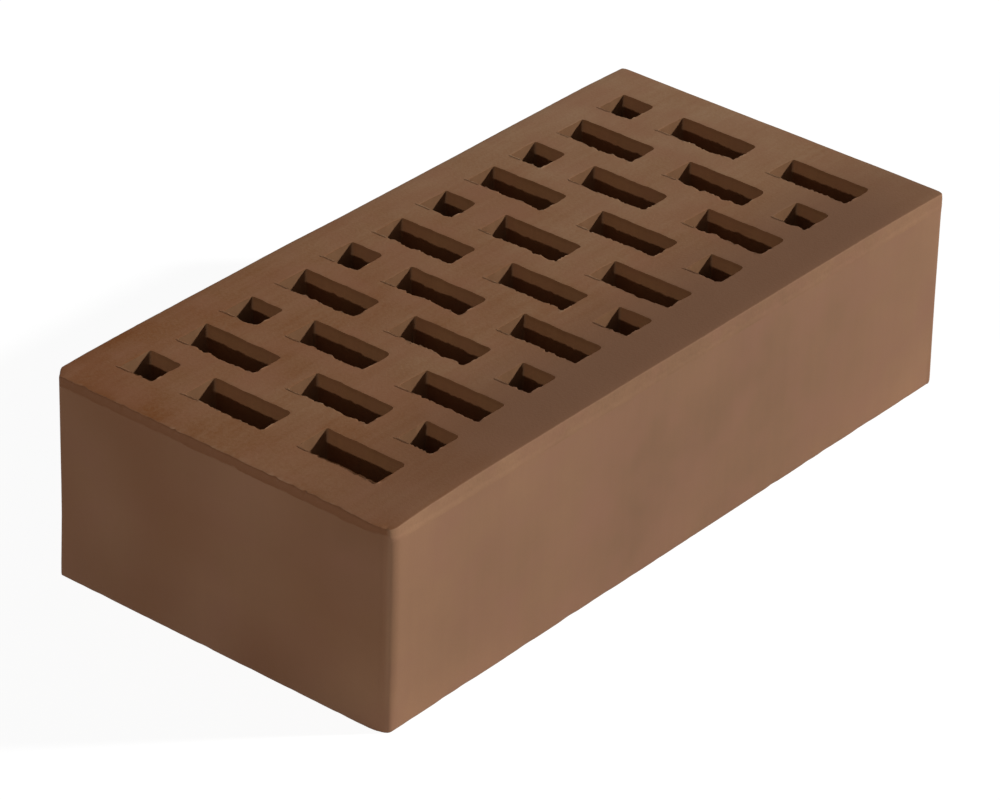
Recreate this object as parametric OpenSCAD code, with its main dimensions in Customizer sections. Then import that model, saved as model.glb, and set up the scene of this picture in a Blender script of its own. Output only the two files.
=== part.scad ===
// Perforated facing brick of fired clay. The clay column is extruded along Z with its
// holes, so the four sides and the holes are straight, and both bed faces are wire-cut.
// The origin is the middle of the lower bed face, with X along the brick and Z up.

/* [Brick] */
// Length of the brick, along X
brick_length = 250; // [200:1:300]
// Width of the brick, along Y
brick_width = 120; // [85:1:150]
// Height of the brick between its two bed faces, along Z
brick_height = 65; // [40:1:140]
// Radius of the four upright corners, as the die leaves them
corner_radius = 3; // [1:0.5:12]

/* [Chamfers around the upper bed face] */
// How far the chamfer runs down each long face
stretcher_chamfer_drop = 4.5; // [1:0.5:12]
// How far the chamfer leans in from each long face
stretcher_chamfer_inset = 0.5; // [0.2:0.1:4]
// How far the chamfer runs down each end face
header_chamfer_drop = 3.5; // [1:0.5:12]
// How far the chamfer leans in from each end face
header_chamfer_inset = 0.4; // [0.2:0.1:4]

/* [Holes] */
// Rows of holes along the brick, an odd number so that both ends are alike
row_count = 11; // [3:2:13]
// Width of every hole, along the brick
hole_width = 12; // [6:0.5:14]
// Length of the short hole in each row, across the brick
short_hole_length = 12; // [6:0.5:18]
// Radius in the corners of the holes
hole_corner_radius = 0.8; // [0.3:0.1:2.5]

/* [Walls] */
// Wall between an end face and the nearest row of holes
end_shell = 15; // [8:0.5:20]
// Wall between the front long face, at -Y, and the nearest holes
front_shell = 16.2; // [8:0.1:20]
// Wall between the back long face and the nearest holes
back_shell = 13; // [8:0.1:20]
// Web between the two slots of a row
slot_web = 12.4; // [6:0.1:18]
// Web between the short hole of a row and the slot beside it
short_hole_web = 10.3; // [6:0.1:18]

/* [Hidden] */
$fn = 64;
clay_brown = [0.49, 0.36, 0.27];
// How far a cut runs past the face that it opens
overcut = 1;
// Rows share out the length that the end shells leave
row_pitch = (brick_length - 2 * end_shell - hole_width) / (row_count - 1);
// Half of the length of a row, from its middle to a shell
row_reach = (brick_width - front_shell - back_shell) / 2;
// The cores stood off the middle of the die by half the difference of the two shells
row_middle = (front_shell - back_shell) / 2;
// The two slots of a row share out what the short hole and the webs leave
slot_length = (2 * row_reach - short_hole_length - slot_web - short_hole_web) / 2;

// Rectangle with round corners, centred on the origin
module rounded_rectangle(length, width, radius) {
    square([length - 2 * radius, width], center = true);
    square([length, width - 2 * radius], center = true);
    for (x = [-1, 1], y = [-1, 1])
        translate([x * (length / 2 - radius), y * (width / 2 - radius)])
            circle(r = radius);
}

// Plan of one hole whose back end lies at y = back
module hole(back, length) {
    translate([0, back - length / 2])
        rounded_rectangle(hole_width, length, hole_corner_radius);
}

// Plan of one row across the brick: the short hole at the back, then two slots
module hole_row() {
    hole(row_reach, short_hole_length);
    hole(row_reach - short_hole_length - short_hole_web, slot_length);
    hole(slot_length - row_reach, slot_length);
}

// Plan of all holes: every second row is turned round, so the short holes change sides
module hole_pattern() {
    for (row = [0 : row_count - 1])
        translate([(row - (row_count - 1) / 2) * row_pitch, row_middle])
            rotate(180 * (row % 2))
                hole_row();
}

// Cutter for one chamfer. It leans towards +X from the face at x = 0, below the bed
// face at z = 0, and runs along Y
module chamfer_cutter(run, drop, inset) {
    reach = inset * (drop + overcut) / drop;
    rotate([90, 0, 0])
        linear_extrude(height = run, center = true)
            polygon([[0, -drop], [reach, overcut], [-overcut, overcut], [-overcut, -drop]]);
}

// The four chamfers around the upper bed face, which meet in a mitre at the corners
module chamfers() {
    for (turn = [0, 180]) {
        rotate(turn)
            translate([-brick_length / 2, 0, brick_height])
                chamfer_cutter(brick_width + 2 * overcut, header_chamfer_drop, header_chamfer_inset);
        rotate(turn + 90)
            translate([-brick_width / 2, 0, brick_height])
                chamfer_cutter(brick_length + 2 * overcut, stretcher_chamfer_drop, stretcher_chamfer_inset);
    }
}

// The whole brick, one piece of fired clay
module brick() {
    color(clay_brown)
        difference() {
            linear_extrude(height = brick_height)
                difference() {
                    rounded_rectangle(brick_length, brick_width, corner_radius);
                    hole_pattern();
                }
            chamfers();
        }
}

brick();
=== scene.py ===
# %% [markdown]
# # A perforated clay brick
# A facing brick starts as a column of stiff clay that a press pushes through a steel die.
# The die gives the column its four straight sides and its holes, and taut wires then cut it
# into bricks. So one brick shows four finishes: a smooth die skin on the sides, a crushed band
# under the upper edge, dull wire-cut beds above and below, and rubbed walls in the holes. The
# wire also breaks clay out of the rims. The lesson loads the exact solid, builds one closed mesh
# that follows it with those torn edges, and then gives each finish its own clay.

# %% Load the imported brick
import math

import bmesh
import bpy
import numpy as np
from mathutils import Matrix, Vector, geometry, noise


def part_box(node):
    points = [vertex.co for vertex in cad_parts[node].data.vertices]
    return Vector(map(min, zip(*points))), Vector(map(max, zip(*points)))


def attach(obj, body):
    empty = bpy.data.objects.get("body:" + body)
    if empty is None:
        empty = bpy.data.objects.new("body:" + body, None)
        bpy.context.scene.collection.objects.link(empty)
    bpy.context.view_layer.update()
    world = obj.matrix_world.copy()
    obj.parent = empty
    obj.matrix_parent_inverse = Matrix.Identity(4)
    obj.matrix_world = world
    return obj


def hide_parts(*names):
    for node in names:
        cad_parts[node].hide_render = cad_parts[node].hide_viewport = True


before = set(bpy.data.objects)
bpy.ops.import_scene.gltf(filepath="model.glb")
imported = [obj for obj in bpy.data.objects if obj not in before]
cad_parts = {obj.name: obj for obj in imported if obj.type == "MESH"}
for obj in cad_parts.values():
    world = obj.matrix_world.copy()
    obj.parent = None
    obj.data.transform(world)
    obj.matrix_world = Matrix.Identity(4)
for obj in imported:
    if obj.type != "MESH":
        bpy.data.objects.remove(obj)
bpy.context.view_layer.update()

MM = 0.001
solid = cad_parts["brick"]
low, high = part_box("brick")
length, width, height = ((high - low) / MM).to_tuple(3)
half_length, half_width = length / 2, width / 2
print(f"brick {length:.1f} x {width:.1f} x {height:.1f} mm")

# %% [markdown]
# ## Edges of the solid
# The chamfers round the upper bed and the round upright corners could be written down again
# as numbers, but they are read from the solid, so that the detailed mesh can never drift away
# from it. A chamfer starts where a side face ends, and ends at the outline of the bed.

# %% Read the chamfers and corners
shape = np.array([vert.co for vert in solid.data.vertices]) / MM
on_floor = shape[:, 2] < 0.01
on_top = shape[:, 2] > height - 0.01


def chamfer(axis, half):
    """Drop and inset of the chamfer above the two faces across an axis, in millimetres."""
    across = np.abs(shape[:, axis])
    return height - shape[across > half - 0.001, 2].max(), half - across[on_top].max()


header_drop, header_inset = chamfer(0, half_length)
stretcher_drop, stretcher_inset = chamfer(1, half_width)
on_stretcher = np.abs(shape[:, 1]) > half_width - 0.001
side_corner = half_length - np.abs(shape[on_floor & on_stretcher, 0]).max()
print(f"chamfers {stretcher_drop:.1f} x {stretcher_inset:.1f} mm along the brick,",
      f"{header_drop:.1f} x {header_inset:.1f} mm at its ends; corners {side_corner:.1f} mm")

# %% [markdown]
# ## Where the holes are
# The holes run straight through, so the lower bed of the solid shows each of them as a closed
# rim. A rim edge lies on the lower bed and joins one bed face to one wall.


# %% Read the hole rims
def rim_boxes():
    """The box (x0, y0, x1, y1) of each closed rim on the lower bed, in millimetres."""
    work = bmesh.new()
    work.from_mesh(solid.data)
    bmesh.ops.remove_doubles(work, verts=work.verts, dist=0.001 * MM)
    beside = {}
    for edge in work.edges:
        bed_faces = [face for face in edge.link_faces if face.normal.z < -0.9]
        if len(bed_faces) == 1:
            first, second = edge.verts
            beside.setdefault(first, []).append(second)
            beside.setdefault(second, []).append(first)
    boxes = []
    waiting = set(beside)
    while waiting:
        rim = [waiting.pop()]
        for vert in rim:
            fresh = [other for other in beside[vert] if other in waiting]
            rim.extend(fresh)
            waiting.difference_update(fresh)
        flat = np.array([vert.co[:2] for vert in rim]) / MM
        boxes.append(tuple(np.round([*flat.min(0), *flat.max(0)], 3)))
    work.free()
    return sorted(boxes)


holes = [box for box in rim_boxes() if box[2] - box[0] < half_length]
x0, y0, x1, y1 = holes[0]
first_end = on_floor & (np.abs(shape[:, 1] - y0) < 0.001) & (shape[:, 0] > x0) & (shape[:, 0] < x1)
hole_corner = shape[first_end, 0].min() - x0
slot_count = sum(1 for x0, y0, x1, y1 in holes if y1 - y0 > 1.5 * (x1 - x0))
print(f"{len(holes)} holes, {slot_count} of them slots, with corners of {hole_corner:.1f} mm")

# %% [markdown]
# ## Two kinds of unevenness
# Pressed clay swells and sinks smoothly, and smooth noise gives that. Stiff clay that a wire
# breaks shows straight bits with corners between them, so a torn rim is a line through a few
# random values instead. Both are seeded, so that every run gives the same brick.

# %% Smooth noise and broken lines
dice = np.random.default_rng(11)


def wander(size, seed, x, y=0.0, z=0.0):
    """Smooth noise of about -1 to 1 whose waves are as long as size, in millimetres."""
    place = Vector((x / size + 0.731 * seed + 0.37, y / size + 1.17 * seed, z / size + 0.43))
    return 1.8 * noise.noise(place)


def broken_line(start, end, mean, spread, bits=(0.3, 0.5, 0.9, 1.6)):
    """A function of the place along a rim that is made of straight bits of the given lengths."""
    places = [start]
    while places[-1] < end:
        places.append(places[-1] + dice.choice(bits))
    values = mean + np.clip(dice.normal(0.0, spread, len(places)), -2 * spread, 2 * spread)
    return lambda at: float(np.interp(at, places, values))


def ramp(value):
    """Smooth step from 0 to 1 while the value runs from 0 to 1."""
    share = min(1.0, max(0.0, value))
    return share * share * (3 - 2 * share)


print("smooth", [round(wander(4.0, 1, x), 2) for x in (0, 2, 4, 6)])

# %% [markdown]
# ## One list of points and faces
# The mesh could be made from a cube with boolean cuts, but a boolean leaves no control over
# where the vertices lie, and torn rims need many vertices along the edge and few elsewhere.
# So the mesh is written as rings: closed loops of points, joined to the next loop by faces.
# Each point also carries how far the clay was worked after the press: 1 where it was torn
# or scraped. On the upper bed the same share gives a darker, greyer tone towards the front.

# %% Rings and bands
points = []
working = []
faces = []
finishes = []
BED, SKIN, EDGE, CORE = range(4)


def add_points(xyz, worked):
    """Stores points in millimetres and returns their numbers."""
    first = len(points)
    points.extend(tuple(map(float, p)) for p in xyz)
    working.extend(float(w) for w in worked)
    return list(range(first, len(points)))


def add_face(corners, finish):
    """Stores one face with its finish."""
    faces.append(tuple(corners))
    finishes.append(finish)


def join_rings(upper, lower, kinds, outward):
    """Joins two rings of equal length, with the faces outwards or into a hole."""
    for i, here in enumerate(upper):
        j = (i + 1) % len(upper)
        corners = (here, lower[i], lower[j], upper[j])
        add_face(corners if outward else corners[::-1], kinds[i])


def zip_rings(upper, upper_at, lower, lower_at, finish):
    """Joins two hole rings of different length, whose places along the rim run from 0 to 1."""
    upper_at = [*upper_at, 1.0]
    lower_at = [*lower_at, 1.0]
    i = j = 0
    while i < len(upper) or j < len(lower):
        a, b = upper[i % len(upper)], lower[j % len(lower)]
        if j == len(lower) or (i < len(upper) and upper_at[i + 1] <= lower_at[j + 1]):
            i += 1
            add_face((a, upper[i % len(upper)], b), finish)
        else:
            j += 1
            add_face((a, lower[j % len(lower)], b), finish)


print("finishes: bed, skin, edge, core")

# %% [markdown]
# ## The wire-cut face
# A bed is flat over the whole brick but not smooth: it rolls gently over centimetres, and the
# wire leaves faint drag lines along its travel, which here is X. At its outline the upper bed
# sinks, more at the ends than along the sides, and bends over a small round edge into the
# chamfer. The near corner, at -X and -Y, has sagged most. The front part of the upper bed is
# darker and greyer. All this is a height and a share for each place, so functions of x and y give
# it.

# %% Height of the bed
edge_round = 0.4
end_sink, end_sink_reach = 0.8, 16.0
side_sink, side_sink_reach = 0.15, 0.8
corner_sink, corner_sink_reach = 1.2, 12.0
near_greying, mid_greying, far_greying = 0.35, 0.92, 0.57


def bed_relief(x, y):
    """Height of the wire-cut surface above its mean plane, in millimetres."""
    roll = 0.06 * wander(24.0, 3, x, y) + 0.02 * wander(7.0, 5, x, y)
    drag = 0.015 * noise.noise(Vector((x / 35.0 + 0.2, y / 1.8, 0.7)))
    return roll + drag


def upper_bed(x, y):
    """Height of the upper bed over the floor, in millimetres."""
    from_end = max(0.0, half_length - header_inset - edge_round - abs(x))
    from_side = max(0.0, half_width - stretcher_inset - edge_round - abs(y))
    sink = end_sink * math.exp(-from_end / end_sink_reach)
    sink += side_sink * math.exp(-from_side / side_sink_reach)
    sink += corner_sink * math.exp(-math.hypot(x + half_length, y + half_width) / corner_sink_reach)
    return height + bed_relief(x, y) - sink


def in_front(y):
    """0 on the back part of the upper bed, 1 on its front part."""
    return ramp((-14.0 - y) / 34.0)


def front_greying(x, y):
    """Share of a darker, greyer tone over the front part of the upper bed."""
    along = near_greying + (mid_greying - near_greying) * ramp((x + half_length) / 80.0)
    along -= (mid_greying - far_greying) * ramp((x - 95.0) / 25.0)
    return along * in_front(y)


print("bed height", [round(upper_bed(x, 0.0), 2) for x in (-half_length, -60, 0, 60)])

# %% [markdown]
# ## The outside of the brick
# The four sides are rings from the lower bed to the upper one, and every ring has its points at
# the same places round the outline. The die gives all four upright corners one radius, but soft
# corners get pinched and dry ones get rubbed, so each ends with its own share of that radius.

# %% Outline of the sides
corner_signs = ((1, -1), (1, 1), (-1, 1), (-1, -1))
corner_shares = (0.6, 0.45, 0.8, 1.0)
corner_points = 10


def side_outline(end_step, long_step):
    """Points round the brick, and the direction out of it at each."""
    radii = [side_corner * share for share in corner_shares]
    half_size = np.array([half_length, half_width])
    centres = [(half_size - radius) * signs for radius, signs in zip(radii, corner_signs)]
    flat, out = [], []
    for k, centre in enumerate(centres):
        for turn in np.linspace(-90, 0, corner_points, endpoint=False):
            angle = math.radians(turn + 90 * k)
            normal = np.array([math.cos(angle), math.sin(angle)])
            flat.append(centre + radii[k] * normal)
            out.append(normal)
        angle = math.radians(90 * k)
        normal = np.array([math.cos(angle), math.sin(angle)])
        after = (k + 1) % 4
        start = centre + radii[k] * normal
        end = centres[after] + radii[after] * normal
        steps = round(np.linalg.norm(end - start) / (long_step if k % 2 else end_step))
        for at in range(steps):
            flat.append(start + (end - start) * at / steps)
            out.append(normal)
    return np.array(flat), np.array(out)


side_flat, side_out = side_outline(end_step=0.6, long_step=1.0)
print("points round the brick", len(side_flat))

# %% [markdown]
# ## Where this brick is no true box
# A brick is soft when it leaves the press, and the belts and the stack in the kiln shape it
# further. The long sides bulge by a part of a millimetre, the back one most near -X. The end at
# +X leans out at its foot and has a waist below the band. The near upright corner, at -X and -Y,
# is worn to an ellipse that reaches further round the short side, and the corner at -X and +Y
# was rubbed flat. A lattice could bend the whole mesh, but a short function for each of these
# says more plainly how far a place moves out of the brick.

# %% Bulges
long_bulge = 0.3
back_bulge, back_bulge_end, back_bulge_fade = 0.65, 10.0, 50.0
far_foot, far_waist = 0.9, -0.6
waist_height, waist_rise = 57.0, 5.0


def bulge(x, z, out):
    """How far a side stands out of a true box, in millimetres."""
    front, back, far = max(0.0, -out[1]), max(0.0, out[1]), max(0.0, out[0])
    long_side = out[1] ** 4
    move = long_bulge * long_side * (1 + front * (0.5 - x / length))
    move += back_bulge * long_side * back * ramp((back_bulge_end - x) / back_bulge_fade)
    if z < waist_height:
        return move + far * (far_foot + (far_waist - far_foot) * z / waist_height)
    return move + far * far_waist * ramp((waist_height + waist_rise - z) / waist_rise)


print("bulge at the foot of the far end", round(bulge(half_length, 0.0, (1, 0)), 2), "mm")

# %% Worn edges and corners
foot_along, body_along = 2.6, 4.6
foot_across, body_across, top_across = 6.0, 11.0, 7.0
top_wear, top_wear_reach = 1.4, 1.8
foot_wear, foot_wear_reach = 0.2, 1.2
foot_chip, foot_chip_reach = 0.15, 2.0


def near_wear(x, y, z):
    """How far the near upright corner is worn back to its ellipse, in millimetres."""
    along = foot_along + (body_along - foot_along) * ramp(z / 15.0)
    across = foot_across + (body_across - foot_across) * ramp(z / 25.0)
    across -= (body_across - top_across) * ramp((z - 45.0) / 15.0)
    past_x = max(0.0, along - half_length - x) / along
    past_y = max(0.0, across - half_width - y) / across
    past = math.hypot(past_x, past_y)
    if past <= 1:
        return 0.0
    return (past - 1) * past / math.hypot(past_x / along, past_y / across)


def edge_wear(x, y, z, out):
    """How far the foot and the top of the upright corners are worn, in millimetres."""
    worn = top_wear * (out[0] * out[1]) ** 2 * math.exp((z - height) / top_wear_reach)
    worn += foot_wear * max(0.0, 1 - z / foot_wear_reach) ** 2
    chipped = max(0.0, wander(5.0, 47, x, y))
    return worn + foot_chip * chipped * max(0.0, 1 - z / foot_chip_reach)


print("wear of the near corner", round(near_wear(-half_length + 1, -half_width + 1, 30.0), 2), "mm")

# %% Rubbed corner
rubbed_toward = np.array([-0.619, 0.785])
rubbed_place = rubbed_toward @ (-half_length, half_width) - 1.6
rubbed_lean, rubbed_lean_height = 0.5, 25.0
rubbed_turn = 0.3


def rubbed_limit(flat, z, out):
    """How far a place may move along out before it passes the rubbed flat, in millimetres."""
    toward = rubbed_toward @ out
    if toward <= rubbed_turn:
        return math.inf
    lean = rubbed_lean * ramp(z / rubbed_lean_height)
    return (rubbed_place - lean - rubbed_toward @ flat) / toward


print("points on the rubbed flat", sum(rubbed_limit(flat, height, out) < 0
                                       for flat, out in zip(side_flat, side_out)))

# %% [markdown]
# ## The band under the upper edge
# Where the wire came in, the upper edge of the sides was pressed back into a narrow band: a soft
# step, then the chamfer. In each ring the chamfer clamps x and y, which is what a plane cut does
# to the corner. At the two ends the band is scraped bare. At the end that the wire left last, at
# -X, it has dragged clay out over the edge and broken bits out of it.

# %% Heights and depths of the band
band_foot = height - 5.6
hem_drop, hem_sag = 0.15, 0.2
header_step, stretcher_step = 0.4, 1.3
scrape_low = 0.5
drag_mean, drag_share, drag_reach = 0.6, 1.6, 0.9
chip_most, chip_share, chip_drop = 0.6, 1.2, 0.9
ragged = broken_line(-half_width, half_width, 0.0, 0.12)
notch = broken_line(-half_width, half_width, 0.15, 0.22, (0.6, 1.2, 2.0, 3.6))


def ring_height(kind, value, x, y, out):
    """Height of a ring on the outline: on the plain wall, on the band, at the hem of the bed's
    clay, or on the round edge above it."""
    brow = upper_bed(x, y) - edge_round
    hem = brow - hem_drop
    if kind == "wall":
        return value
    if kind == "band":
        return band_foot + value * (hem - band_foot)
    if kind == "hem":
        return hem + max(0.0, -out[0]) ** 4 * (ragged(y) - hem_sag)
    return brow + edge_round * math.sin(value)


def pressed_in(z, drop, inset, step):
    """How far a chamfer stands back at height z: half as a step of the given height at its foot,
    half as a slope."""
    rise = z - (height - drop)
    return 0.5 * inset * (ramp(rise / step + 0.5) + max(0.0, rise / drop))


def scraped(x, y, z, head):
    """How bare the skin is: fully on the band at the ends, in faint clouds on the rest of them."""
    foot = height - header_drop - scrape_low + 0.25 * wander(5.0, 49, y) + 0.1 * wander(1.4, 50, y)
    band = (z - foot) / 0.35
    cloud = 0.4 + 0.2 * z / height + 0.2 * wander(28.0, 51, x, y, z)
    return head * max(0.0, min(1.0, max(band, cloud)))


def wire_edge(y, z):
    """How far clay hangs over the edge at -X, less what has broken out of it, in millimetres."""
    drag = drag_mean + drag_share * max(-0.2, ragged(y))
    chip = min(chip_most, max(0.0, chip_share * notch(y) - 0.05))
    from_top = height - z
    return drag * math.exp(-from_top / drag_reach) - chip * min(1.0, math.exp(chip_drop - from_top))


print("edge at -X", [round(wire_edge(y, height - 1), 2) for y in (-40, -20, 0, 20, 40)])

# %% One point of the outside
end_share = 0.45


def side_point(flat, out, kind, value):
    """A point of one ring of the outside, and how far it was worked."""
    x, y = flat
    z = ring_height(kind, value, x, y, out)
    on_band = ramp(1.2 - (height - z) / stretcher_drop)
    swell = 0.07 * wander(38.0, 41, x, y, 0.4 * z) + 0.015 * wander(9.0, 43, x, y, 0.5 * z)
    crumb = 0.03 * out[1] ** 4 * on_band * wander(1.9, 35, x, y, z)
    left_last = max(0.0, -out[0]) ** 4 * wire_edge(y, z)
    worn = near_wear(x, y, z) + edge_wear(x, y, z, out)
    free_move = swell + crumb + bulge(x, z, out) + left_last - worn
    move = min(free_move, rubbed_limit(flat, z, out))
    tucked = edge_round * (1 - math.cos(value)) if kind == "round" else 0.0
    header_in = pressed_in(z, header_drop, header_inset, header_step)
    stretcher_in = pressed_in(z, stretcher_drop, stretcher_inset, stretcher_step)
    limit_x = half_length - header_in + free_move - tucked
    limit_y = half_width - stretcher_in + free_move - tucked
    x = min(max(x + out[0] * (move - tucked), -limit_x), limit_x)
    y = min(max(y + out[1] * (move - tucked), -limit_y), limit_y)
    # head also carries the ends' darker colour round the upright corners: the ends' own scraped
    # clay, and painted shade on the part of a corner that turns away from the light.
    head = 1.0 if move < free_move else ramp(2.0 * abs(out[0]) - 0.5)
    on_bed = kind == "round" and value > (1.5 if abs(out[0]) > end_share else 0.8)
    return (x, y, z), front_greying(x, y) if on_bed else scraped(x, y, z, head)


foot_point, foot_worked = side_point(side_flat[0], side_out[0], "wall", 0.0)
print("a point of the foot", [round(c, 2) for c in foot_point], "worked", round(foot_worked, 2))

# %% Build the outside
# Each ring has its kind and place, and the finish of the faces below it at the ends and along
# the brick.
ring_list = [("wall", z, SKIN, SKIN)
             for z in (0.0, 0.25, 0.7, 1.4, 4.0, 11.0, 20.0, 30.0, 40.0, 49.0, 55.0, 58.0)]
ring_list += [("band", share, SKIN, SKIN if share == 0 else EDGE)
              for share in (0.0, 0.12, 0.22, 0.31, 0.37, 0.42, 0.47, 0.53, 0.62, 0.72, 0.84)]
ring_list += [("hem", 0.0, SKIN, EDGE)]
ring_list += [("round", math.radians(turn), SKIN if turn < 80 else BED, EDGE if turn < 60 else BED)
              for turn in (0, 25, 50, 70, 90)]
rubbed_margin = 1.2
at_end = [abs(out[0]) > end_share or rubbed_toward @ flat > rubbed_place - rubbed_margin
          for flat, out in zip(side_flat, side_out)]
side_rings = []
for kind, value, end_finish, long_finish in ring_list:
    made = [side_point(flat, out, kind, value) for flat, out in zip(side_flat, side_out)]
    side_rings.append(add_points(*zip(*made)))
    if len(side_rings) > 1:
        kinds = [end_finish if end else long_finish for end in at_end]
        join_rings(side_rings[-1], side_rings[-2], kinds, outward=True)
print("rings of the outside", len(side_rings), "faces so far", len(faces))

# %% [markdown]
# ## How the wire tears a rim
# Where the wire leaves a hole it breaks bits out of the edge, so the side of each rim towards
# -X is torn: it breaks back by up to a millimetre and stands a little high or low. Towards the
# +Y corner the clay holds together and only a crack opens beside the rim, which runs on past
# the corner. The end towards -Y keeps a thin burr. The other edges were cut clean. The cores
# that form the holes bend a little in the press: the rows lean by about a degree, neighbouring
# rows stand off to opposite sides, and each hole has drifted by a part of a millimetre.

# %% Drift, tears, lips and cracks
row_lean, row_offset = math.tan(math.radians(-0.9)), 0.5
row_places = sorted({x0 for x0, y0, x1, y1 in holes})
drift = np.clip(dice.normal(0.0, 0.3, (len(holes), 2)), -0.6, 0.6)
cores = []
for (x0, y0, x1, y1), (dx, dy) in zip(holes, drift):
    dx += row_lean * (y0 + y1) / 2
    dy += -row_offset if row_places.index(x0) % 2 else row_offset
    cores.append((x0 + dx, y0 + dy, x1 + dx, y1 + dy))
bite_line = [broken_line(y0, y1, 0.10, 0.25, (1.5, 2.5, 4.0, 6.0)) for x0, y0, x1, y1 in cores]
tooth_line = [broken_line(y0, y1, 0.0, 0.20) for x0, y0, x1, y1 in cores]
lip_line = [broken_line(y0, y1, 0.0, 0.11) for x0, y0, x1, y1 in cores]
depth_line = [broken_line(y0, y1, 1.8, 0.5, (0.9, 1.6, 2.6)) for x0, y0, x1, y1 in cores]
burr_line = [broken_line(x0, x1, 0.05, 0.12) for x0, y0, x1, y1 in cores]
crack_run, crack_lip, crack_depth = 4.8, 0.10, 0.26
crack_past = 0.6 + 1.6 * dice.random(len(cores))
rim_drop = 0.06
burr_end, burr_fade = 7.0, 3.0


def torn(number, y):
    """1 where the -X rim is torn, 0 where it has only cracked."""
    return ramp((cores[number][3] - crack_run + 0.8 - y) / 1.5)


def tear(number, y):
    """How far the -X rim of a hole has broken back at y, in millimetres."""
    return torn(number, y) * (bite_line[number](y) + tooth_line[number](y))


def rim_lift(number, x, y, into):
    """Height of a rim point over the bed, in millimetres."""
    x0, y0, x1, y1 = cores[number]
    torn_side, near_end = max(0.0, -into[0]) ** 2, max(0.0, -into[1]) ** 2
    share = torn(number, y)
    lip = share * lip_line[number](y) + (1 - share) * crack_lip
    burr = ramp((x0 + burr_end - x) / burr_fade) * burr_line[number](x)
    return torn_side * lip + near_end * burr - (1 - torn_side - near_end) * rim_drop


print("tear of the first rim", [round(tear(0, y), 2) for y in range(-40, -20, 4)])

# %% [markdown]
# ## The path round a hole
# A hole is a rectangle with small round corners, from the core that stood in the die. The
# path below walks round it anticlockwise and keeps, at each point, the direction into the
# clay. The torn side gets the closest points.


# %% Walk round a hole
def hole_path(box, torn_step, end_step, clean_step, corner_steps):
    """Points, directions into the clay, and places from 0 to 1 along the rim."""
    x0, y0, x1, y1 = box
    r = hole_corner
    walk = [
        ((x0 + r, y0), (x1 - r, y0), -90, end_step),
        ((x1, y0 + r), (x1, y1 - r), 0, clean_step),
        ((x1 - r, y1), (x0 + r, y1), 90, end_step),
        ((x0, y1 - r), (x0, y0 + r), 180, torn_step),
    ]
    flat, into = [], []
    for start, end, turn, step in walk:
        start, end = np.array(start), np.array(end)
        angle = math.radians(turn)
        normal = np.array([math.cos(angle), math.sin(angle)])
        steps = max(1, round(np.linalg.norm(end - start) / step))
        for k in range(steps):
            flat.append(start + (end - start) * k / steps)
            into.append(normal)
        centre = end - r * normal
        for k in range(corner_steps):
            bend = angle + math.radians(90) * k / corner_steps
            normal_here = np.array([math.cos(bend), math.sin(bend)])
            flat.append(centre + r * normal_here)
            into.append(normal_here)
    flat, into = np.array(flat), np.array(into)
    run = np.linalg.norm(np.roll(flat, -1, 0) - flat, axis=1)
    place = np.concatenate([[0.0], np.cumsum(run)[:-1]]) / run.sum()
    return flat, into, place


fine_steps = {"torn_step": 0.3, "end_step": 0.6, "clean_step": 1.0, "corner_steps": 6}
plain_steps = {"torn_step": 6.5, "end_step": 4.5, "clean_step": 6.5, "corner_steps": 3}
foot_steps = {"torn_step": 0.9, "end_step": 1.5, "clean_step": 2.0, "corner_steps": 3}
print("points round the first hole", len(hole_path(cores[0], **fine_steps)[0]))

# %% [markdown]
# ## Hole walls
# Each hole is a stack of rings too. Near the upper bed the rings are close together and follow
# the torn rim; deeper down a few points are enough, and the two kinds of ring are zipped
# together. The lower rim is torn as well, a little less finely. At the rim the corner towards +X
# and -Y is rounder than deeper down, because the wire smears clay over it.

# %% One ring of a hole
rim_corner, rim_corner_depth = 1.7, 3.0
wall_wave = 0.05
rim_crumb, rim_crumb_depth = 0.07, 1.0
rim_wave, rim_wave_depth = 0.16, 4.0


def rounded_off(number, x, y, share):
    """A point of a hole wall, moved on to the rounder rim if it lies in the +X, -Y corner."""
    x0, y0, x1, y1 = cores[number]
    out = np.array([x - (x1 - rim_corner), y - (y0 + rim_corner)])
    past = np.linalg.norm(out) - rim_corner
    if out[0] < 0 or out[1] > 0 or past < 0:
        return x, y
    return np.array([x, y]) - share * past * out / np.linalg.norm(out)


def wall_ring(number, path, z, depth, torn_share):
    """Points of a hole ring at a depth under its bed, and how far they were worked."""
    crumb = rim_crumb * torn_share * max(0.0, 1 - depth / rim_crumb_depth)
    wave = rim_wave * torn_share * max(0.0, 1 - depth / rim_wave_depth)
    rounding = torn_share * max(0.0, 1 - depth / rim_corner_depth)
    ring, worked = [], []
    for (x, y), (nx, ny) in zip(path[0], path[1]):
        fade = torn_share * max(0.0, -nx) * max(0.0, 1 - depth / depth_line[number](y))
        move = fade * tear(number, y)
        move += wall_wave * wander(3.0, number + 10, x, y, 0.3 * z)
        move += crumb * wander(1.1, number + 20, x, y)
        move += wave * wander(4.0, number + 40, x, y)
        worked.append(max(0.6 * fade, ramp(ny)))
        x, y = rounded_off(number, x, y, rounding)
        ring.append((x + nx * move, y + ny * move, z))
    return ring, worked


print(f"corners of {rim_corner} mm at the rim and {hole_corner:.1f} mm deeper down")

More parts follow.
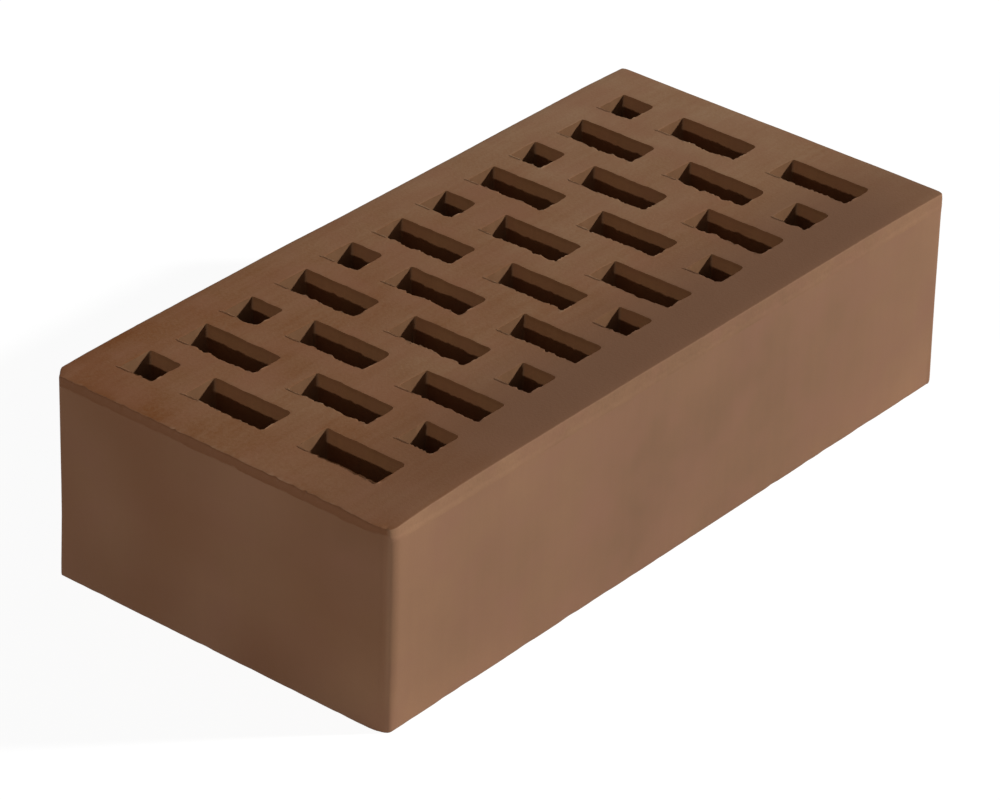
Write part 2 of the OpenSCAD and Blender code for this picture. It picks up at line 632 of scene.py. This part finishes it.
# %% Build the hole walls
fine_depths = [0.0, 0.25, 0.6, 1.1, 1.9, 3.2]
plain_depths = [5.5, 11.0, 20.0, 32.0, 44.0, 54.0, 60.0]
foot_heights = [2.4, 1.2, 0.5, 0.0]
upper_rims, lower_rims = [], []
for number, box in enumerate(cores):
    fine = hole_path(box, **fine_steps)
    plain = hole_path(box, **plain_steps)
    foot = hole_path(box, **foot_steps)
    rings = []
    for depth in fine_depths:
        xyz, worked = wall_ring(number, fine, height - depth, depth, torn_share=1.0)
        if depth == 0:
            xyz = [(x, y, upper_bed(x, y) + rim_lift(number, x, y, into))
                   for (x, y, z), into in zip(xyz, fine[1])]
            worked = [front_greying(x, y) for x, y, z in xyz]
        rings.append(add_points(xyz, worked))
    for upper, lower in zip(rings, rings[1:]):
        join_rings(upper, lower, [CORE] * len(upper), outward=False)
    plain_rings = [add_points(*wall_ring(number, plain, height - depth, depth, torn_share=0.0))
                   for depth in plain_depths]
    foot_rings = [add_points(*wall_ring(number, foot, z, z, torn_share=0.7))
                  for z in foot_heights]
    for stack in (plain_rings, foot_rings):
        for upper, lower in zip(stack, stack[1:]):
            join_rings(upper, lower, [CORE] * len(upper), outward=False)
    zip_rings(rings[-1], fine[2], plain_rings[0], plain[2], CORE)
    zip_rings(plain_rings[-1], plain[2], foot_rings[0], foot[2], CORE)
    upper_rims.append(rings[0])
    lower_rims.append(foot_rings[-1])
print("faces with the hole walls", len(faces))

# %% [markdown]
# ## Filling the beds
# A bed is a flat sheet with 33 holes in it. Blender can fill such an outline, but long thin
# triangles would shade badly, so extra points are scattered inside and a constrained Delaunay
# triangulation joins them all: it keeps every rim edge and makes the other triangles as even
# as it can. Rows of points beside a rim carry its lip and its crack. A point is only used if
# it keeps its distance from the points before it.


# %% Points beside the rims
crack_away = 0.34
clean_steps = {"torn_step": 0.8, "end_step": 0.8, "clean_step": 1.2, "corner_steps": 4}


def beside_rim(number):
    """Places beside one upper rim, each with its height over the bed."""
    x0, y0, x1, y1 = cores[number]
    places = []
    crack_start, crack_end = y1 - crack_run, y1 + crack_past[number]
    for y in np.arange(crack_start, crack_end, 0.4):
        open_share = ramp((y - crack_start) / 1.5) * ramp((crack_end - y) / 1.5)
        middle = x0 - crack_away - 0.25 * max(0.0, y - y1) + 0.06 * wander(2.0, number + 60, y)
        for away, rise in ((0.24, crack_lip), (0.0, -crack_depth), (-0.3, 0.0), (-0.7, 0.0)):
            places.append((middle + away, y, rise * open_share))
        if y > y1:
            places.append((middle + 0.5, y, 0.0))
    for y in np.arange(y0 + hole_corner, crack_start, 0.45):
        edge = x0 - tear(number, y)
        for away, share in ((0.25, 0.3), (0.7, 0.0), (1.4, 0.0)):
            places.append((edge - away, y, share * lip_line[number](y)))
    for (x, y), (nx, ny) in zip(*hole_path(cores[number], **clean_steps)[:2]):
        if nx > -0.7:
            places.extend((x + nx * away, y + ny * away, 0.0) for away in (0.35, 0.9))
    return places


print("places beside the first rim", len(beside_rim(0)))


# %% Spacing and inside tests
class Spacing:
    """Remembers places and tells whether a new place keeps a distance from all of them."""

    def __init__(self, cell):
        self.cell = cell
        self.taken = {}

    def add(self, x, y):
        self.taken.setdefault((int(x // self.cell), int(y // self.cell)), []).append((x, y))

    def free(self, x, y, gap):
        column, row = int(x // self.cell), int(y // self.cell)
        for i in (column - 1, column, column + 1):
            for j in (row - 1, row, row + 1):
                for other_x, other_y in self.taken.get((i, j), ()):
                    if (other_x - x) ** 2 + (other_y - y) ** 2 < gap**2:
                        return False
        return True


def inside(outline, x, y):
    """True if a place lies inside a closed outline."""
    here, after = outline, np.roll(outline, -1, 0)
    crosses = (here[:, 1] > y) != (after[:, 1] > y)
    rise = np.where(crosses, after[:, 1] - here[:, 1], 1.0)
    at = here[:, 0] + (y - here[:, 1]) * (after[:, 0] - here[:, 0]) / rise
    return bool(np.count_nonzero(crosses & (at > x)) % 2)


first_rim = np.array([points[number][:2] for number in upper_rims[0]])
print("middle of the first rim lies inside it:", inside(first_rim, *first_rim.mean(0)))

# %% Fill one bed
beside_gap = 0.11
sheet_gap = 0.62
row_step = 0.87
jitter = 0.25


def fill_bed(outline, rims, beside, step, lift, flip):
    """Fills a bed between its outline and its rims, and returns how many faces it made. beside
    holds places for each rim, and lift gives the height of the bed at a place."""
    loops = [outline, *rims]
    shapes = [np.array([points[number][:2] for number in loop]) for loop in loops]
    numbers = [number for loop in loops for number in loop]
    order = {number: at for at, number in enumerate(numbers)}
    edges = [(order[a], order[b]) for loop in loops for a, b in zip(loop, loop[1:] + loop[:1])]
    spacing = Spacing(step)
    for x, y in np.concatenate(shapes):
        spacing.add(x, y)
    extra = []
    for rim_shape, places in zip(shapes[1:], beside):
        for x, y, rise in places:
            if spacing.free(x, y, beside_gap) and not inside(rim_shape, x, y):
                extra.append((x, y, lift(x, y) + rise))
                spacing.add(x, y)
    rows = np.arange(-half_width + step, half_width - step / 2, step * row_step)
    for row, y_row in enumerate(rows):
        for x_row in np.arange(-half_length + step, half_length - step / 2, step):
            x = x_row + 0.5 * step * (row % 2) + jitter * step * wander(2.3, 61, x_row, y_row)
            y = y_row + jitter * step * wander(2.3, 67, x_row, y_row)
            in_hole = any(x0 - 0.9 < x < x1 and y0 < y < y1 for x0, y0, x1, y1 in cores)
            if not in_hole and spacing.free(x, y, sheet_gap * step) and inside(shapes[0], x, y):
                extra.append((x, y, lift(x, y)))
    numbers += add_points(extra, [front_greying(x, y) if z > height / 2 else 0.0 for x, y, z in extra])
    flat = [Vector(points[number][:2]) for number in numbers]
    made = geometry.delaunay_2d_cdt(flat, edges, [], 0, 1e-7)
    if len(made[0]) != len(flat):
        raise ValueError("two rims of a bed cross each other")
    owners = [at for at, loop in enumerate(loops) for number in loop] + [-1] * len(extra)
    count = 0
    for corners in made[2]:
        owner = {owners[corner] for corner in corners}
        if len(owner) == 1 and -1 not in owner:
            at = owner.pop()
            middle = sum((flat[corner] for corner in corners), Vector((0.0, 0.0))) / 3
            if inside(shapes[at], *middle) != (at == 0):
                continue
        face = [numbers[corner] for corner in corners]
        add_face(face[::-1] if flip else face, BED)
        count += 1
    return count


print("points on the upper rims", sum(len(rim) for rim in upper_rims))

# %% Fill both beds
lower_rise, lower_shift = 0.12, 400.0


def lower_bed(x, y):
    """Height of the lower bed over the floor: its own stretch of the same relief."""
    return lower_rise + bed_relief(x + lower_shift, y)


upper_beside = [beside_rim(number) for number in range(len(cores))]
upper_count = fill_bed(side_rings[-1], upper_rims, upper_beside,
                       step=1.7, lift=upper_bed, flip=False)
lower_count = fill_bed(side_rings[0], lower_rims, beside=[],
                       step=3.2, lift=lower_bed, flip=True)
print("faces of the upper bed", upper_count, "and of the lower bed", lower_count)

# %% [markdown]
# ## Kiln flash, painted highlights and painted shade
# In the kiln the flame leaves one part of a face paler than another. Here the upper bed is paler
# towards its far end and the long sides are paler towards their ends. The short side at -X is also
# made darker beside the near corner, and the upper bed a little darker towards its front. Thin lips
# that stand up beside a hole, and the clay that hangs out at the ragged edge at -X, get a painted
# highlight: a paler colour where light catches them. The tops of the hole walls get painted shade:
# a darker line under the rims. A texture could hold all this, but it is simpler to store it with
# each point, as a share of the way from the dark clay to the light clay.


# %% Flash, painted highlights and painted shade of each point
def bed_flash_and_highlight(x, y, z):
    """Flash of the upper bed, with painted highlights on the lips beside the holes and at the
    ragged edge at -X.
    """
    along, across = x / half_length, y / half_width
    # Painted highlight: raised clay is paler, where light catches it, both at the ragged edge at -X
    # and on the lips beside the holes.
    if x < -half_length + 0.8:
        lip = 2.0 * max(0.0, ragged(y))
    else:
        lip = min(0.5, max(0.0, 5.0 * (z - upper_bed(x, y)) - 0.1))
    # The upper bed is also a little darker towards its front, most near -X.
    front_darkening = 0.07 * (1 - along) * in_front(y)
    return along * (0.17 + 0.26 * max(0.0, across)) - front_darkening + lip - 0.05


def wall_flash_and_shade(x, y, z):
    """Flash of the sides and the hole walls, with painted shade along the tops of the hole walls.
    """
    along = x / half_length
    on_side = (y / half_width) ** 8
    off_end = ramp((x + half_length + 1.0) / 5.0)
    to_ends = 0.6 * along**2 - 0.11 * along - 0.32
    foot = math.exp(-z / 9.0) * (0.15 + 0.2 * along**2)
    brow = 0.12 * ramp((z - 40.0) / 18.0)
    # Painted shade: a darker line along the top two millimetres of the hole walls, under the rims.
    painted_rim_shade = 0.4 * (1 - on_side) * ramp((z - height + 2.2) / 1.8)
    # Darker towards the near corner, in the upper part of the short side at -X.
    near_corner_darkening = 0.35 * (1 - off_end) * ramp((-20.0 - y) / 35.0) * ramp((z - 18.0) / 30.0)
    return off_end * on_side * (to_ends + foot + brow) - painted_rim_shade - near_corner_darkening


on_bed = {number for face, finish in zip(faces, finishes) if finish == BED for number in face}
# The share of each point holds the kiln flash together with the painted highlights on raised lips
# and the painted shade along the tops of the hole walls.
flash_and_painted_light = [bed_flash_and_highlight(*point) if number in on_bed and point[2] > height / 2 else wall_flash_and_shade(*point)
         for number, point in enumerate(points)]
print("flash from", round(min(flash_and_painted_light), 2), "to", round(max(flash_and_painted_light), 2))

# %% [markdown]
# ## One closed mesh
# The points and faces become one mesh object, which rides on the solid's only body and stands
# for the solid in the picture. Smooth shading with sharp edges kept above an angle makes the
# gentle swell of the sides look soft while rims and chips stay crisp.

# %% Make the brick
mesh = bpy.data.meshes.new("fired_brick")
mesh.from_pydata([(x * MM, y * MM, z * MM) for x, y, z in points], [], faces)
mesh.polygons.foreach_set("material_index", finishes)
mesh.polygons.foreach_set("use_smooth", [True] * len(faces))
mesh.set_sharp_from_angle(angle=math.radians(35))
for name, values in (("working", working), ("flash_and_painted_light", flash_and_painted_light)):
    mesh.attributes.new(name, "FLOAT", "POINT").data.foreach_set("value", values)
mesh.validate()
mesh.update()
brick = bpy.data.objects.new("fired_brick", mesh)
bpy.context.scene.collection.objects.link(brick)
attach(brick, "root")
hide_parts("brick")
check = bmesh.new()
check.from_mesh(mesh)
open_edges = sum(1 for edge in check.edges if not edge.is_manifold)
print("triangles", sum(len(face) - 2 for face in faces), "open edges", open_edges,
      "volume", round(check.calc_volume() / MM**3), "mm3")
check.free()

# %% [markdown]
# ## Colours and nodes
# Colours are written as the sRGB values that a colour picker shows, and one function turns
# them into the linear values that the renderer works in. One more function adds a node.


# %% Colour and node helpers
def linear(code):
    """Linear colour of an sRGB hex code, with full alpha."""
    parts = [int(code[k:k + 2], 16) / 255 for k in (1, 3, 5)]
    return (*[p / 12.92 if p <= 0.04045 else ((p + 0.055) / 1.055) ** 2.4 for p in parts], 1.0)


def add(tree, kind, settings=None, links=None):
    """Adds one node with its settings, by attribute or socket, and its incoming links."""
    node = tree.nodes.new(kind)
    for name, value in (settings or {}).items():
        if isinstance(name, str) and hasattr(node, name):
            setattr(node, name, value)
        else:
            node.inputs[name].default_value = value
    for name, socket in (links or {}).items():
        tree.links.new(socket, node.inputs[name])
    return node


print("linear mid brown", [round(c, 3) for c in linear("#93684E")])

# %% [markdown]
# ## Fired clay
# Clay with iron in it fires to brown. Its shade is uneven at three sizes: cloudy patches of a
# few centimetres, streaks along the direction in which the clay was pushed or cut, and grains
# of sand. One function mixes those three and the stored kiln flash, which also carries the painted
# highlights and painted shade, into a share between a darker and a lighter brown; a slow cloud of
# its own brings in a redder brown, as iron does. The same three sizes give the bump, and the grain
# alone gives the roughness. All finishes of the brick are this clay, so they share the function
# and differ in their numbers.


# %% Clay finish
def clay_finish(name, dark, light, red, worked, patch_mm, streak_mm, grain_mm, mix, relief_mm,
                rough):
    """A clay material. streak_mm is the streak's size along x, y and z; mix and relief_mm are
    the weights of patch, streak and grain in the shade and, in millimetres, in the bump."""
    material = bpy.data.materials.new(name)
    material.use_nodes = True
    tree = material.node_tree
    tree.nodes.clear()
    place = add(tree, "ShaderNodeTexCoord").outputs["Object"]
    stretch = add(tree, "ShaderNodeMapping",
                  {"Scale": tuple(1 / (size * MM) for size in streak_mm)}, {"Vector": place})
    patch = add(tree, "ShaderNodeTexNoise",
                {"Scale": 1 / (patch_mm * MM), "Detail": 3.0, "Roughness": 0.5}, {"Vector": place})
    streak = add(tree, "ShaderNodeTexNoise",
                 {"Scale": 1.0, "Detail": 2.0}, {"Vector": stretch.outputs["Vector"]})
    grain = add(tree, "ShaderNodeTexNoise",
                {"Scale": 1 / (grain_mm * MM), "Detail": 2.0, "Roughness": 0.6}, {"Vector": place})
    # The stored share holds the kiln flash, the painted highlights on lips and the painted shade
    # under the hole rims.
    flash_and_light_share = add(tree, "ShaderNodeAttribute", {"attribute_name": "flash_and_painted_light"}).outputs["Fac"]
    shade = add(tree, "ShaderNodeMath", {"operation": "ADD", 1: 0.5 - 0.5 * sum(mix)},
                {0: flash_and_light_share}).outputs[0]
    bump_height = None
    for texture, weight, tall in zip((patch, streak, grain), mix, relief_mm):
        value = texture.outputs["Fac"]
        shade = add(tree, "ShaderNodeMath", {"operation": "MULTIPLY_ADD", 1: weight},
                    {0: value, 2: shade}).outputs[0]
        below = {} if bump_height is None else {2: bump_height}
        bump_height = add(tree, "ShaderNodeMath", {"operation": "MULTIPLY_ADD", 1: tall, 2: 0.0},
                          {0: value, **below}).outputs[0]
    shade = add(tree, "ShaderNodeClamp", links={"Value": shade}).outputs[0]
    colour = add(tree, "ShaderNodeMix", {"data_type": "RGBA", 6: linear(dark), 7: linear(light)},
                 {0: shade}).outputs[2]
    iron = add(tree, "ShaderNodeTexNoise",
               {"noise_dimensions": "4D", "W": 7.0, "Scale": 1 / (0.45 * patch_mm * MM),
                "Detail": 1.0}, {"Vector": place}).outputs["Fac"]
    iron = add(tree, "ShaderNodeMapRange",
               {"From Min": 0.4, "From Max": 0.75, "To Max": 0.6}, {"Value": iron}).outputs[0]
    colour = add(tree, "ShaderNodeMix", {"data_type": "RGBA", 7: linear(red)},
                 {0: iron, 6: colour}).outputs[2]
    share = add(tree, "ShaderNodeAttribute", {"attribute_name": "working"}).outputs["Fac"]
    colour = add(tree, "ShaderNodeMix", {"data_type": "RGBA", 7: linear(worked)},
                 {0: share, 6: colour}).outputs[2]
    dull = add(tree, "ShaderNodeMath", {"operation": "MULTIPLY_ADD", 1: 0.25, 2: rough - 0.125},
               {0: grain.outputs["Fac"]}).outputs[0]
    bump = add(tree, "ShaderNodeBump", {"Strength": 1.0, "Distance": MM},
               {"Height": bump_height}).outputs["Normal"]
    shader = add(tree, "ShaderNodeBsdfPrincipled", {"IOR": 1.5, "Specular IOR Level": 0.12},
                 {"Base Color": colour, "Roughness": dull, "Normal": bump})
    add(tree, "ShaderNodeOutputMaterial", links={"Surface": shader.outputs["BSDF"]})
    return material


print("one clay shader for all finishes")

# %% The four finishes
# Wire-cut clay: dull, with short faint drag lines along the wire's travel.
bed_clay = clay_finish("wire_cut_fired_clay", dark="#7B4B28", light="#9F7E61", red="#8F634A",
                       worked="#795741", patch_mm=26.0, streak_mm=(30.0, 2.2, 30.0), grain_mm=0.9,
                       mix=(0.7, 0.3, 0.5), relief_mm=(0.06, 0.03, 0.06), rough=0.85)
# Die skin: smooth and slightly satin, with faint streaks along the push of the press. Where
# it is scraped the raw clay under it is darker and warmer.
skin_clay = clay_finish("die_skin_fired_clay", dark="#7E5D45", light="#987155", red="#8D6550",
                        worked="#724A30", patch_mm=34.0, streak_mm=(3.0, 3.0, 60.0), grain_mm=0.8,
                        mix=(0.8, 0.14, 0.3), relief_mm=(0.08, 0.012, 0.02), rough=0.62)
# Pressed edge: the same skin, crushed and crumbly.
edge_clay = clay_finish("pressed_edge_fired_clay", dark="#7C5C44", light="#9D7659", red="#8D6550",
                        worked="#86644A", patch_mm=18.0, streak_mm=(4.0, 4.0, 2.0), grain_mm=1.1,
                        mix=(0.5, 0.3, 0.35), relief_mm=(0.06, 0.04, 0.06), rough=0.75)
# Core wall: rubbed by the die's core, dull, streaked along the push.
core_clay = clay_finish("core_rubbed_fired_clay", dark="#714B2E", light="#895F3E", red="#7D5237",
                        worked="#805D41", patch_mm=20.0, streak_mm=(1.8, 1.8, 40.0), grain_mm=0.9,
                        mix=(0.8, 0.4, 0.4), relief_mm=(0.05, 0.05, 0.05), rough=0.85)
for material in (bed_clay, skin_clay, edge_clay, core_clay):
    mesh.materials.append(material)
print("materials", [material.name for material in mesh.materials])

# %% [markdown]
# ## Floor and surroundings
# The brick stands on plain white paper. The paper is an ordinary diffuse white for the light
# that bounces; for what the camera sees, most of its white is given as an even glow, so that
# it comes out white while the brick's shadow still falls on it faintly. The world does the same.

# %% White paper floor
floor_half, floor_gap = 4.0, 0.05 * MM
floor_mesh = bpy.data.meshes.new("paper_floor")
floor_mesh.from_pydata([(-floor_half, -floor_half, 0), (floor_half, -floor_half, 0),
                        (floor_half, floor_half, 0), (-floor_half, floor_half, 0)],
                       [], [(0, 1, 2, 3)])
floor = bpy.data.objects.new("paper_floor", floor_mesh)
floor.location.z = -floor_gap
bpy.context.scene.collection.objects.link(floor)


def seen_directly(tree):
    """1 for rays of the camera and for what mirrors and glass show of them, 0 for other light."""
    ray = add(tree, "ShaderNodeLightPath").outputs
    seen = ray["Is Camera Ray"]
    for kind in ("Is Glossy Ray", "Is Transmission Ray"):
        either = add(tree, "ShaderNodeMath", {"operation": "MAXIMUM"}, {0: seen, 1: ray[kind]})
        seen = either.outputs[0]
    return seen


paper = bpy.data.materials.new("white_paper")
paper.use_nodes = True
tree = paper.node_tree
tree.nodes.clear()
plain_white = add(tree, "ShaderNodeBsdfDiffuse", {"Color": linear("#E0E0DE")}).outputs[0]
shaded = add(tree, "ShaderNodeBsdfDiffuse", {"Color": linear("#747474")}).outputs[0]
glow = add(tree, "ShaderNodeEmission", {"Color": linear("#FFFFFF"), "Strength": 0.92}).outputs[0]
lit = add(tree, "ShaderNodeAddShader", links={0: shaded, 1: glow}).outputs[0]
surface = add(tree, "ShaderNodeMixShader",
              links={0: seen_directly(tree), 1: plain_white, 2: lit}).outputs[0]
add(tree, "ShaderNodeOutputMaterial", links={"Surface": surface})
floor_mesh.materials.append(paper)
print("paper floor", 2 * floor_half, "m wide")

# %% World
world = bpy.data.worlds.new("studio")
bpy.context.scene.world = world
world.use_nodes = True
tree = world.node_tree
tree.nodes.clear()
white = linear("#FFFFFF")
dim = add(tree, "ShaderNodeBackground", {"Color": white, "Strength": 0.12}).outputs[0]
bright = add(tree, "ShaderNodeBackground", {"Color": white, "Strength": 1.0}).outputs[0]
sky = add(tree, "ShaderNodeMixShader", links={0: seen_directly(tree), 1: dim, 2: bright}).outputs[0]
add(tree, "ShaderNodeOutputWorld", links={"Surface": sky})
print("world", world.name)

# %% [markdown]
# ## Lamps
# Two lamps make the picture's light, both far away so that it is even along the brick. The key
# stands to the right in front of the long side and low enough to reach a triangle of every
# hole's far end. A weaker fill stands to the left and low, and lights the short side and the
# top of the hole walls. It is small, so that the torn rims cast crisp shadows into the holes.
# A lamp's power is worked out from the level it should give at the brick, where 1 shows a
# colour as it is written.


# %% Place the lamps
def add_lamp(name, toward, distance, size, level):
    """A round soft lamp in a direction from the brick, with its level at the brick."""
    data = bpy.data.lights.new(name, "AREA")
    data.shape = "DISK"
    data.size = size
    data.energy = level * math.pi**2 * distance**2
    lamp = bpy.data.objects.new(name, data)
    aim = Vector(toward).normalized()
    lamp.location = aim * distance + Vector((0.0, 0.0, height * MM))
    lamp.rotation_mode = "QUATERNION"
    lamp.rotation_quaternion = aim.to_track_quat("Z", "Y")
    bpy.context.scene.collection.objects.link(lamp)


add_lamp("key_lamp", toward=(0.65, -0.634, 0.42), distance=7.0, size=0.5, level=0.96)
add_lamp("fill_lamp", toward=(-0.94, 0.0, 0.34), distance=5.0, size=0.17, level=0.275)

# %% [markdown]
# ## Camera
# The picture was taken with a long lens from above the near corner, so that the edges hardly
# converge. The camera's place, its aim and a slight lean were measured on the brick's edges.

# %% Camera
eye = Vector((-962.24, -766.98, 752.06)) * MM
target = Vector((-12.40, -5.95, 32.5)) * MM
lean_deg = 1.753
camera_data = bpy.data.cameras.new("camera")
camera_data.lens = 180.06
camera_data.sensor_width = 36.0
camera = bpy.data.objects.new("camera", camera_data)
aim = (target - eye).normalized()
turned = aim.to_track_quat("-Z", "Y").to_matrix() @ Matrix.Rotation(math.radians(lean_deg), 3, "Z")
camera.rotation_mode = "QUATERNION"
camera.rotation_quaternion = turned.to_quaternion()
camera.location = eye
bpy.context.scene.collection.objects.link(camera)
bpy.context.scene.camera = camera
bpy.context.scene.view_settings.view_transform = "Standard"
print("camera", [round(v, 3) for v in eye])
